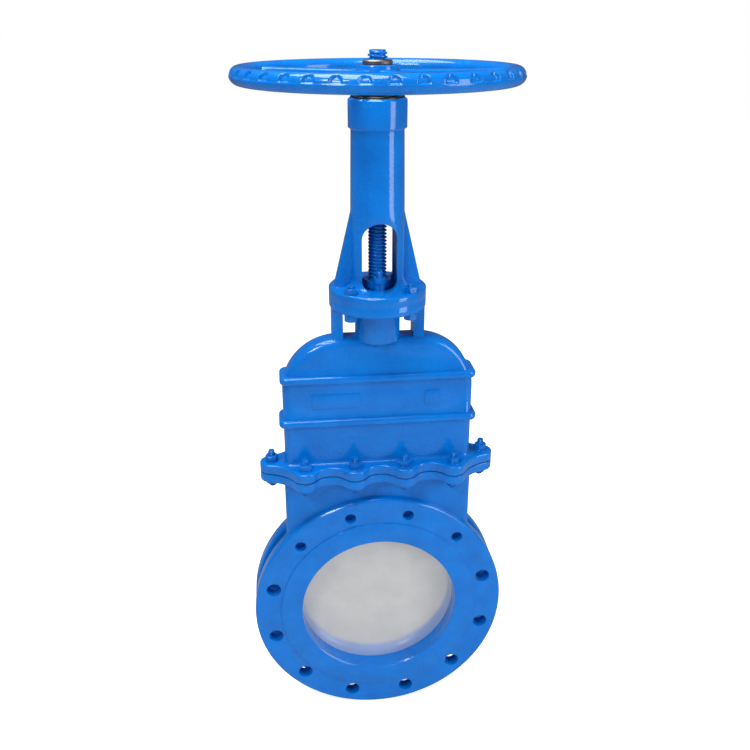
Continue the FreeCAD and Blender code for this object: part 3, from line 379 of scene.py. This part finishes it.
def thread_tree():
    """A threaded rod: a flat grid bent into a cylinder, with a helix standing out."""
    tree, start, end = geometry_tree("Threaded rod", (
        ("Crest", "Float", 0.013), ("Root", "Float", 0.010), ("Pitch", "Float", 0.005),
        ("Length", "Float", 0.1), ("Hand", "Float", 1.0), ("Flank", "Float", 0.3), ("Rows", "Int", 100),
        ("Around", "Int", 32), ("Material", "Material", None)))
    given = start.outputs
    grid = add(tree, "GeometryNodeMeshGrid", {"Size X": 1.0, "Size Y": 1.0, "Vertices X": given["Rows"],
                                              "Vertices Y": given["Around"]})
    spot = add(tree, "ShaderNodeSeparateXYZ", {0: add(tree, "GeometryNodeInputPosition").outputs[0]})
    up = maths(tree, "ADD", spot.outputs["X"], 0.5)
    turn = maths(tree, "ADD", spot.outputs["Y"], 0.5)
    height = maths(tree, "MULTIPLY", up, given["Length"])
    steps = maths(tree, "DIVIDE", height, given["Pitch"])
    phase = maths(tree, "FRACT", maths(tree, "SUBTRACT", steps,
                                       maths(tree, "MULTIPLY", turn, given["Hand"])))
    tooth = maths(tree, "MULTIPLY", maths(tree, "ABSOLUTE", maths(tree, "SUBTRACT", phase, 0.5)), 2.0)
    shape = add(tree, "ShaderNodeMapRange", {
        "Value": tooth, "From Min": maths(tree, "SUBTRACT", 0.5, given["Flank"]),
        "From Max": maths(tree, "ADD", 0.5, given["Flank"])})
    chamfer = add(tree, "ShaderNodeMapRange", {
        "Value": maths(tree, "SUBTRACT", given["Length"], height), "From Min": 0.0,
        "From Max": given["Pitch"]})
    rise = maths(tree, "MULTIPLY", shape.outputs[0], chamfer.outputs[0])
    depth = maths(tree, "SUBTRACT", given["Crest"], given["Root"])
    radius = maths(tree, "MULTIPLY_ADD", rise, depth, given["Root"])
    angle = maths(tree, "MULTIPLY", turn, 2 * math.pi)
    place = add(tree, "ShaderNodeCombineXYZ", {
        "X": maths(tree, "MULTIPLY", maths(tree, "COSINE", angle), radius),
        "Y": maths(tree, "MULTIPLY", maths(tree, "SINE", angle), radius), "Z": height})
    bent = add(tree, "GeometryNodeSetPosition", {
        "Geometry": grid.outputs[0], "Position": place.outputs[0]})
    merged = add(tree, "GeometryNodeMergeByDistance", {"Geometry": bent.outputs[0], "Distance": MERGE})
    whole = add(tree, "GeometryNodeRealizeInstances", {"Geometry": merged.outputs[0]})
    final = add(tree, "GeometryNodeSetMaterial", {
        "Geometry": whole.outputs[0], "Material": given["Material"]})
    tree.links.new(final.outputs[0], end.inputs["Geometry"])
    return tree


def grown(name, tree, values, base=None):
    """Runs a geometry tree once, on an empty or given mesh, and keeps the result as a plain mesh."""
    carrier = put(name + "_grow", base or bpy.data.meshes.new(name + "_grow"))
    grow = carrier.modifiers.new("Grow", "NODES")
    grow.node_group = tree
    for item in tree.interface.items_tree:
        if item.item_type == "SOCKET" and item.in_out == "INPUT" and item.name in values:
            grow[item.identifier] = values[item.name]
    graph = bpy.context.evaluated_depsgraph_get()
    mesh = bpy.data.meshes.new_from_object(carrier.evaluated_get(graph))
    bpy.data.objects.remove(carrier)
    return mesh


def threaded_rod(name, crest, root, pitch, length, hand, flank, per_pitch, around, material):
    """A threaded rod standing on the origin, closed at both ends; hand is -1 for a left-hand thread."""
    rows = int(length / pitch * per_pitch) + 1
    mesh = grown(name, THREAD, {
        "Crest": crest, "Root": root, "Pitch": pitch, "Length": length, "Hand": hand, "Flank": flank,
        "Rows": rows, "Around": around + 1, "Material": material})
    work = bmesh.new()
    work.from_mesh(mesh)
    close_ends(work)
    bmesh.ops.recalc_face_normals(work, faces=work.faces)
    work.to_mesh(mesh)
    work.free()
    mesh.shade_smooth()
    mesh.set_sharp_from_angle(angle=math.radians(38))
    return put(name, mesh)


THREAD = thread_tree()

# %% [markdown]
# ## Stem
#
# The stem is a 26 mm trapezoidal screw with a 5 mm pitch. Its thread is left-handed, so that turning the
# wheel clockwise drives the gate down. Only the upper part is threaded; the lower part is smooth where the
# packing seals on it, and its forked foot holds the gate between two pins.

# %% Make the stem's thread and its plain lower part
THREAD_FOOT = disc_top + 8 * MM
STEM_PITCH, STEM_THREAD_DEPTH = 5 * MM, 2.6 * MM
stem_thread = threaded_rod(
    "stem_thread", STEM_R, STEM_R - STEM_THREAD_DEPTH, STEM_PITCH, stem_high.z - THREAD_FOOT, hand=-1.0,
    flank=0.14, per_pitch=12, around=40, material=SMALL_BLUE)
stem_thread.data.transform(Matrix.Translation((0, AXIS_Y, THREAD_FOOT)))

stem_mesh = nodes["stem"].data.copy()
work = bmesh.new()
work.from_mesh(stem_mesh)
bmesh.ops.remove_doubles(work, verts=work.verts, dist=MERGE)
bmesh.ops.bisect_plane(work, geom=work.verts[:] + work.edges[:] + work.faces[:],
                       plane_co=(0, 0, THREAD_FOOT), plane_no=(0, 0, 1), clear_outer=True)
close_ends(work)
work.to_mesh(stem_mesh)
work.free()
stem_shank = put("stem_shank", stem_mesh)
stem_mesh.shade_smooth()
stem_mesh.set_sharp_from_angle(angle=math.radians(35))
paint(stem_shank, STEEL)
for piece in (stem_thread, stem_shank):
    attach(piece, "stem_and_gate")
    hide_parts("stem")
print("stem thread", len(stem_thread.data.polygons), "faces, shank", len(stem_mesh.polygons), "faces")

# %% [markdown]
# ## Fasteners
#
# The bonnet joint has ten studs with a nut and washer above and a nut below. All of one kind are the same
# piece at ten places, so one mesh is made and a Geometry Nodes tree sets it on a point for each CAD solid,
# turned by a different angle each time, as a spanner leaves them.

# %% Find each solid's place in a fastener group
def places_of(node):
    """The plan centre of every separate solid in a CAD node, with the group's lowest and highest point."""
    work = bmesh.new()
    work.from_mesh(nodes[node].data)
    bmesh.ops.remove_doubles(work, verts=work.verts, dist=MERGE)
    left, found = set(work.verts), []
    while left:
        island, queue = [], [left.pop()]
        while queue:
            vertex = queue.pop()
            island.append(vertex.co.copy())
            for edge in vertex.link_edges:
                other = edge.other_vert(vertex)
                if other in left:
                    left.discard(other)
                    queue.append(other)
        xs, ys = [p.x for p in island], [p.y for p in island]
        found.append((round((min(xs) + max(xs)) / 2, 6), round((min(ys) + max(ys)) / 2, 6)))
    work.free()
    low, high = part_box(node)
    return sorted(found), low[2], high[2]


# %% Build the tree that sets one piece on every point
SEED = 4


def fastener_tree():
    """One pattern piece on every point, each turned by its own angle up to Turn."""
    tree, start, end = geometry_tree("Set of fasteners", (
        ("Geometry", "Geometry", None), ("Pattern", "Object", None), ("Turn", "Float", 1.0),
        ("Seed", "Int", SEED), ("Material", "Material", None)))
    given = start.outputs
    pattern = add(tree, "GeometryNodeObjectInfo", {"Object": given["Pattern"]})
    points = add(tree, "GeometryNodeMeshToPoints", {"Mesh": given["Geometry"]})
    spin = add(tree, "FunctionNodeRandomValue", {"Seed": given["Seed"]}, data_type="FLOAT")
    tree.links.new(given["Turn"], spin.inputs[3])
    spin.inputs[2].default_value = 0.0
    rotation = add(tree, "ShaderNodeCombineXYZ", {"Z": spin.outputs[1]})
    placed = add(tree, "GeometryNodeInstanceOnPoints", {
        "Points": points.outputs[0], "Instance": pattern.outputs["Geometry"],
        "Rotation": rotation.outputs[0]})
    whole = add(tree, "GeometryNodeRealizeInstances", {"Geometry": placed.outputs[0]})
    final = add(tree, "GeometryNodeSetMaterial", {
        "Geometry": whole.outputs[0], "Material": given["Material"]})
    tree.links.new(final.outputs[0], end.inputs["Geometry"])
    return tree


FASTENERS = fastener_tree()


def fastener_set(name, node, pattern, spots, foot, turn, material, body="valve_frame"):
    """Copies of a pattern piece at the plan places, standing at height foot; the pattern is used up."""
    base = bpy.data.meshes.new(name + "_points")
    base.from_pydata([(x, y, foot) for x, y in spots], [], [])
    mesh = grown(name, FASTENERS, {"Pattern": pattern, "Turn": turn, "Seed": SEED, "Material": material},
                 base)
    bpy.data.objects.remove(pattern)
    mesh.set_sharp_from_angle(angle=math.radians(35))
    piece = put(name, mesh)
    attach(piece, body)
    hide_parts(node)
    print(name, len(spots), "places", len(mesh.polygons), "faces")
    return piece


# %% Make one hexagon nut
PINHOLE = 0.1 * MM


def hex_piece(name, across, height, bore, around=72):
    """A hexagon nut or head with its corners turned off at both ends, standing on the origin."""
    half = across / 2
    face_r = half * 0.95
    inner = bore or PINHOLE
    vertices, faces, count = [], [], 6
    for i in range(around):
        turn = 2 * math.pi * i / around
        side = half / math.cos((turn + math.pi / 6) % (math.pi / 3) - math.pi / 6)
        fall = (side - face_r) * 0.55
        ring = [(inner, 0.0), (face_r, 0.0), (side, fall), (side, height - fall), (face_r, height),
                (inner, height)]
        vertices += [(r * math.cos(turn), r * math.sin(turn), z) for r, z in ring]
        for k in range(count):
            j, m = (i + 1) % around, (k + 1) % count
            faces.append((i * count + k, j * count + k, j * count + m, i * count + m))
    return new_piece(name, vertices, faces, 30)


# %% Put in the bonnet joint's studs, nuts and washers
NUT_AF, NUT_BORE_R = 17 * MM, 5.1 * MM
STUD_R, STUD_ROOT_R, STUD_PITCH = 5 * MM, 4.25 * MM, 1.5 * MM
WASHER_R, WASHER_BORE_R, WASHER_CHAMFER = 10 * MM, 5.3 * MM, 0.4 * MM


def small_rod(name, crest, root, length):
    """A stud or bolt shank with a right-hand metric thread."""
    return threaded_rod(name, crest, root, STUD_PITCH, length, hand=1.0, flank=0.42, per_pitch=6, around=14,
                        material=SMALL_BLUE)


for set_name, set_node in (("joint_nuts_top", "bonnet_nuts_upper"),
                           ("joint_nuts_foot", "bonnet_nuts_lower")):
    spots, foot, top = places_of(set_node)
    fastener_set(set_name, set_node, hex_piece("nut_pattern", NUT_AF, top - foot, NUT_BORE_R), spots, foot,
                 1.0, SMALL_BLUE)
spots, foot, top = places_of("bonnet_studs")
stud = small_rod("stud_pattern", STUD_R, STUD_ROOT_R, top - foot)
fastener_set("joint_studs", "bonnet_studs", stud, spots, foot, 6.0, SMALL_BLUE)
spots, foot, top = places_of("bonnet_washers")
washer = turned("washer_pattern", (
    (WASHER_BORE_R, 0), (WASHER_R, 0), (WASHER_R, top - foot - WASHER_CHAMFER),
    (WASHER_R - WASHER_CHAMFER, top - foot), (WASHER_BORE_R, top - foot)), 48, (0.0, 0.0))
fastener_set("joint_washers", "bonnet_washers", washer, spots, foot, 0.0, SMALL_BLUE)

# %% [markdown]
# The yoke stands on four bolts whose heads are under the bonnet's disc and whose nuts are on the flange.
# The gland is held by two smaller studs, in front of the stem and behind it.

# %% Put in the yoke bolts and the gland studs
HEAD_H = 10 * MM
GLAND_AF, GLAND_BORE_R, GLAND_STUD_R, GLAND_ROOT_R = 16 * MM, 5.0 * MM, 4.9 * MM, 4.2 * MM
spots, foot, top = places_of("yoke_bolts")
head_top = foot + HEAD_H
fastener_set("yoke_bolt_heads", "yoke_bolts", hex_piece("head_pattern", NUT_AF, HEAD_H, 0.0), spots, foot,
             1.0, SMALL_BLUE)
shank = small_rod("shank_pattern", STUD_R, STUD_ROOT_R, top - head_top)
fastener_set("yoke_bolt_shanks", "yoke_bolts", shank, spots, head_top, 6.0, SMALL_BLUE)
spots, foot, top = places_of("yoke_nuts")
fastener_set("yoke_nut_set", "yoke_nuts", hex_piece("nut_pattern", NUT_AF, top - foot, NUT_BORE_R), spots,
             foot, 1.0, SMALL_BLUE)
spots, foot, top = places_of("gland_nuts")
fastener_set("gland_nut_set", "gland_nuts", hex_piece("nut_pattern", GLAND_AF, top - foot, GLAND_BORE_R),
             spots, foot, 0.4, SMALL_BLUE)
spots, foot, top = places_of("gland_studs")
gland_stud = small_rod("stud_pattern", GLAND_STUD_R, GLAND_ROOT_R, top - foot)
fastener_set("gland_stud_set", "gland_studs", gland_stud, spots, foot, 6.0, SMALL_BLUE)

# %% [markdown]
# ## Handwheel
#
# The wheel is one iron casting: a round rim, five spokes and a hub. The mould left a parting line at the
# rim's mid height. Above it, shallow hollows for the fingers are cut into the outer side, all round.
# The rim follows a rule, so a Geometry Nodes tree bends a grid into a ring and presses the hollows in.

# %% Build the rim tree
def rim_tree():
    """A ring with hollows pressed into its outer side and a small step at the parting line."""
    tree, start, end = geometry_tree("Fluted rim", (
        ("Ring Radius", "Float", 0.179), ("Section Radius", "Float", 0.012), ("Flutes", "Int", 36),
        ("Flute Width", "Float", 0.6), ("Flute Depth", "Float", 0.0035), ("Flute Height", "Float", 1.25),
        ("Flute Phase", "Float", 0.0), ("Parting Step", "Float", 0.0004), ("Around", "Int", 721),
        ("Section", "Int", 49), ("Material", "Material", None)))
    given = start.outputs
    grid = add(tree, "GeometryNodeMeshGrid", {"Size X": 1.0, "Size Y": 1.0, "Vertices X": given["Around"],
                                              "Vertices Y": given["Section"]})
    spot = add(tree, "ShaderNodeSeparateXYZ", {0: add(tree, "GeometryNodeInputPosition").outputs[0]})
    turn = maths(tree, "ADD", spot.outputs["X"], 0.5)
    section = maths(tree, "MULTIPLY", spot.outputs["Y"], 2 * math.pi)
    count = maths(tree, "MULTIPLY_ADD", turn, given["Flutes"], given["Flute Phase"])
    phase = maths(tree, "SUBTRACT", maths(tree, "FRACT", count), 0.5)
    half_width = maths(tree, "MULTIPLY", given["Flute Width"], 0.5)
    across = maths(tree, "DIVIDE", maths(tree, "ABSOLUTE", phase), half_width)
    up = maths(tree, "DIVIDE", section, given["Flute Height"])
    inside = maths(tree, "SQRT", maths(tree, "ADD", maths(tree, "POWER", across, 2.0),
                                       maths(tree, "POWER", maths(tree, "ABSOLUTE", up), 2.4)))
    hollow = add(tree, "ShaderNodeMapRange", {"Value": inside, "From Min": 1.0, "From Max": 0.72},
                 interpolation_type="SMOOTHSTEP")
    above = add(tree, "ShaderNodeMapRange", {"Value": section, "From Min": 0.0, "From Max": 0.08},
                interpolation_type="SMOOTHSTEP")
    press = maths(tree, "MULTIPLY", hollow.outputs[0], above.outputs[0])
    lower = maths(tree, "LESS_THAN", section, 0.0)
    step = maths(tree, "MULTIPLY", maths(tree, "SUBTRACT", 1.0, lower), given["Parting Step"])
    radius = maths(tree, "SUBTRACT", maths(tree, "SUBTRACT", given["Section Radius"], step),
                   maths(tree, "MULTIPLY", press, given["Flute Depth"]))
    reach = maths(tree, "MULTIPLY_ADD", maths(tree, "COSINE", section), radius, given["Ring Radius"])
    angle = maths(tree, "MULTIPLY", turn, 2 * math.pi)
    place = add(tree, "ShaderNodeCombineXYZ", {
        "X": maths(tree, "MULTIPLY", maths(tree, "COSINE", angle), reach),
        "Y": maths(tree, "MULTIPLY", maths(tree, "SINE", angle), reach),
        "Z": maths(tree, "MULTIPLY", maths(tree, "SINE", section), radius)})
    bent = add(tree, "GeometryNodeSetPosition", {
        "Geometry": grid.outputs[0], "Position": place.outputs[0]})
    merged = add(tree, "GeometryNodeMergeByDistance", {"Geometry": bent.outputs[0], "Distance": MERGE})
    whole = add(tree, "GeometryNodeRealizeInstances", {"Geometry": merged.outputs[0]})
    final = add(tree, "GeometryNodeSetMaterial", {
        "Geometry": whole.outputs[0], "Material": given["Material"]})
    tree.links.new(final.outputs[0], end.inputs["Geometry"])
    return tree


SECTION_R, RIM_DROP = 12 * MM, 11 * MM
RING_R = WHEEL_R - SECTION_R
hub_low, hub_high = wheel_low.z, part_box("wheel_lock_nut")[0][2]
RIM_Z = hub_high - RIM_DROP
rim_mesh = grown("rim", rim_tree(), {
    "Ring Radius": RING_R, "Section Radius": SECTION_R, "Flutes": 36, "Flute Width": 0.5,
    "Flute Depth": 3.2 * MM, "Flute Height": 1.15, "Flute Phase": 0.58, "Parting Step": 0.9 * MM,
    "Around": 1081, "Section": 65, "Material": BLUE})
tidy(rim_mesh)
rim_mesh.shade_smooth()
rim_mesh.transform(Matrix.Translation((0, AXIS_Y, RIM_Z)))
wheel_rim = put("wheel_rim", rim_mesh)
print("wheel rim", len(rim_mesh.polygons), "faces, at height %.4f" % RIM_Z)

# %% [markdown]
# Each spoke is a flat oval bar. It is wider where it meets the hub and the rim, because sharp corners
# there would crack as the casting cools.

# %% Make the spokes and the hub
SPOKES, FIRST_SPOKE = 5, math.radians(5)
SPOKE_HALF_W, SPOKE_HALF_T = 8.5 * MM, 5.0 * MM
FLARE_W, FLARE_T = 5 * MM, 1.5 * MM
HUB_FLARE, RIM_FLARE, SQUARENESS = 0.22, 0.2, 0.7
HUB_R, HUB_BORE_R, HUB_CHAMFER, HUB_EDGE = 27.5 * MM, 18.2 * MM, 1.5 * MM, 2 * MM


def spoke_mesh(turn, steps=24, around=20):
    """One spoke as rings of oval sections from inside the hub to inside the rim."""
    start, stop = HUB_R - 5 * MM, RING_R - 2 * MM
    vertices, faces = [], []
    for i in range(steps + 1):
        part = i / steps
        reach = start + (stop - start) * part
        flare = max(0.0, 1 - part / HUB_FLARE) ** 2 + max(0.0, (part - 1 + RIM_FLARE) / RIM_FLARE) ** 2
        half_w, half_t = SPOKE_HALF_W + FLARE_W * flare, SPOKE_HALF_T + FLARE_T * flare
        for k in range(around):
            a = 2 * math.pi * k / around
            across = half_w * math.copysign(abs(math.cos(a)) ** SQUARENESS, math.cos(a))
            up = half_t * math.copysign(abs(math.sin(a)) ** SQUARENESS, math.sin(a))
            x = reach * math.cos(turn) - across * math.sin(turn)
            y = reach * math.sin(turn) + across * math.cos(turn)
            vertices.append((x, AXIS_Y + y, RIM_Z + up))
    for i in range(steps):
        for k in range(around):
            m = (k + 1) % around
            faces.append((i * around + k, i * around + m, (i + 1) * around + m, (i + 1) * around + k))
    faces.append(tuple(range(around)))
    faces.append(tuple(range(steps * around, (steps + 1) * around)))
    return vertices, faces


for i in range(SPOKES):
    spoke_turn = FIRST_SPOKE + 2 * math.pi * i / SPOKES
    spoke = new_piece("wheel_spoke_%d" % (i + 1), *spoke_mesh(spoke_turn), sharp=60)
    paint(spoke, BLUE)
    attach(spoke, "wheel_and_nut")
    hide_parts("handwheel")

hub = turned("wheel_hub", (
    (HUB_BORE_R, hub_low), (HUB_R - HUB_CHAMFER, hub_low), (HUB_R, hub_low + HUB_CHAMFER),
    (HUB_R, hub_high - HUB_EDGE), (HUB_R - 0.6 * MM, hub_high - 0.6 * MM),
    (HUB_R - HUB_EDGE, hub_high), (HUB_BORE_R, hub_high)), 96)
for piece in (wheel_rim, hub):
    paint(piece, BLUE)
    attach(piece, "wheel_and_nut")
    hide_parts("handwheel")
print(SPOKES, "spokes and a hub from height %.4f to %.4f" % (hub_low, hub_high))

# %% [markdown]
# ## The pieces that stay as the CAD made them
#
# Turned rings, the gate plate and the hidden inner pieces need no finer mesh. They get the material of
# what they are made of.

# %% Give the carried-over CAD nodes their materials
CARRIED = (
    (GATE_STEEL, ("gate",)),
    (BLUE, ("seat_ring_front",)),
    (STEEL, ("seat_ring_rear", "stem_pins", "wheel_key", "bearing_races_fixed",
             "bearing_races_turning", "bearing_balls")),
    (NUT_STEEL, ("wheel_lock_nut",)),
    (BRONZE, ("stem_nut", "packing_bush")),
    (SMALL_BLUE, ("gland_follower",)),
    (BLACK, ("bearing_cap",)),
    (RUBBER, ("seat_seal",)),
    (FIBRE, ("bonnet_gasket", "packing_rings")),
    (PLASTIC, ("gate_guide_left", "gate_guide_right")),
)
for material, names in CARRIED:
    for name in names:
        paint(nodes[name], material)
print(sum(len(names) for _, names in CARRIED), "CAD nodes carried over")

# %% [markdown]
# ## Camera, floor and light
#
# The camera stands a little to the left, above the valve, and looks down by 23 degrees. The floor is plain
# and pale. A small light on the left shapes the castings, a wide one above gives the broad shine on the
# rim, and a tall one on the right gives the upright line on the column. The paint mirrors a room darker
# than the pale floor, so the floor and sky are dimmed for mirror rays. Both are made brighter for the rays
# that the camera sends straight to them, so the ground runs out into white.

# %% Set up the camera
def look(thing, place, target):
    """Puts a camera or light at a place, facing a point."""
    thing.location = place
    thing.rotation_euler = (Vector(target) - Vector(place)).to_track_quat("-Z", "Y").to_euler()


HEADING, PITCH = math.radians(-6.542), math.radians(22.985)
camera_data = bpy.data.cameras.new("camera")
camera_data.lens = 40.87
camera_data.clip_start, camera_data.clip_end = 0.05, 50
camera = put("camera", camera_data)
eye = Vector((-0.1361, -1.1245, 0.8899))
ahead = Vector((-math.sin(HEADING) * math.cos(PITCH), math.cos(HEADING) * math.cos(PITCH),
                -math.sin(PITCH)))
look(camera, eye, eye + ahead)
bpy.context.scene.camera = camera
print("camera", [round(v, 4) for v in eye], "looks along", [round(v, 3) for v in ahead])

# %% Lay the floor and hang the lights
FLOOR_Z, REACH = cad_low[2] - 0.3 * MM, 60
FLOOR_GLOW = 0.68
FLOOR_TONE, MIRRORED_FLOOR_TONE = (0.93, 0.93, 0.93, 1), (0.3, 0.3, 0.3, 1)
corners = [(x, y, FLOOR_Z) for x, y in ((-REACH, -REACH), (REACH, -REACH), (REACH, REACH), (-REACH, REACH))]
floor = new_piece("floor", corners, [(0, 1, 2, 3)])
if floor.data.polygons[0].normal.z < 0:
    floor.data.flip_normals()
white, white_tree, white_shader = new_material("Pale floor")
white_shader.inputs["Roughness"].default_value = 0.8
white_shader.inputs["Specular IOR Level"].default_value = 0.1
white_shader.inputs["Emission Color"].default_value = (1, 1, 1, 1)
path = white_tree.nodes.new("ShaderNodeLightPath")
glow = maths(white_tree, "MULTIPLY", path.outputs["Is Camera Ray"], FLOOR_GLOW)
white_tree.links.new(glow, white_shader.inputs["Emission Strength"])
shade = add(white_tree, "ShaderNodeMix", {"Factor": path.outputs["Is Glossy Ray"]}, data_type="RGBA")
shade.inputs[6].default_value, shade.inputs[7].default_value = FLOOR_TONE, MIRRORED_FLOOR_TONE
white_tree.links.new(shade.outputs[2], white_shader.inputs["Base Color"])
paint(floor, white)


def area_light(name, place, target, width, height, power):
    """A rectangular light of a width and height in metres and a power in watts, facing a point."""
    data = bpy.data.lights.new(name, "AREA")
    data.shape = "RECTANGLE"
    data.size, data.size_y, data.energy = width, height, power
    look(put(name, data), place, target)


CENTRE = (0, AXIS_Y, 0.3)
area_light("key", (-1.3, -1.5, 2.1), CENTRE, width=0.7, height=0.6, power=24)
area_light("strip", (1.75, -1.2, 0.8), CENTRE, width=0.8, height=2.0, power=24)
area_light("top", (-0.35, -0.1, 2.2), CENTRE, width=1.6, height=1.0, power=42)
SKY_LIGHT, MIRRORED_SKY_LIGHT = 0.36, 0.08

bpy.context.scene.view_settings.view_transform = "Standard"
world = bpy.data.worlds.new("studio")
bpy.context.scene.world = world
world.use_nodes = True
sky = world.node_tree.nodes["Background"]
sky.inputs[0].default_value = (1, 1, 1, 1)
ray = world.node_tree.nodes.new("ShaderNodeLightPath")
dim = add(world.node_tree, "ShaderNodeMapRange", {
    "Value": ray.outputs["Is Glossy Ray"], "To Min": SKY_LIGHT, "To Max": MIRRORED_SKY_LIGHT})
seen = maths(world.node_tree, "MAXIMUM", ray.outputs["Is Camera Ray"], dim.outputs[0])
world.node_tree.links.new(seen, sky.inputs[1])
print("floor at %.4f, %d lights" % (FLOOR_Z, len(bpy.data.lights)))
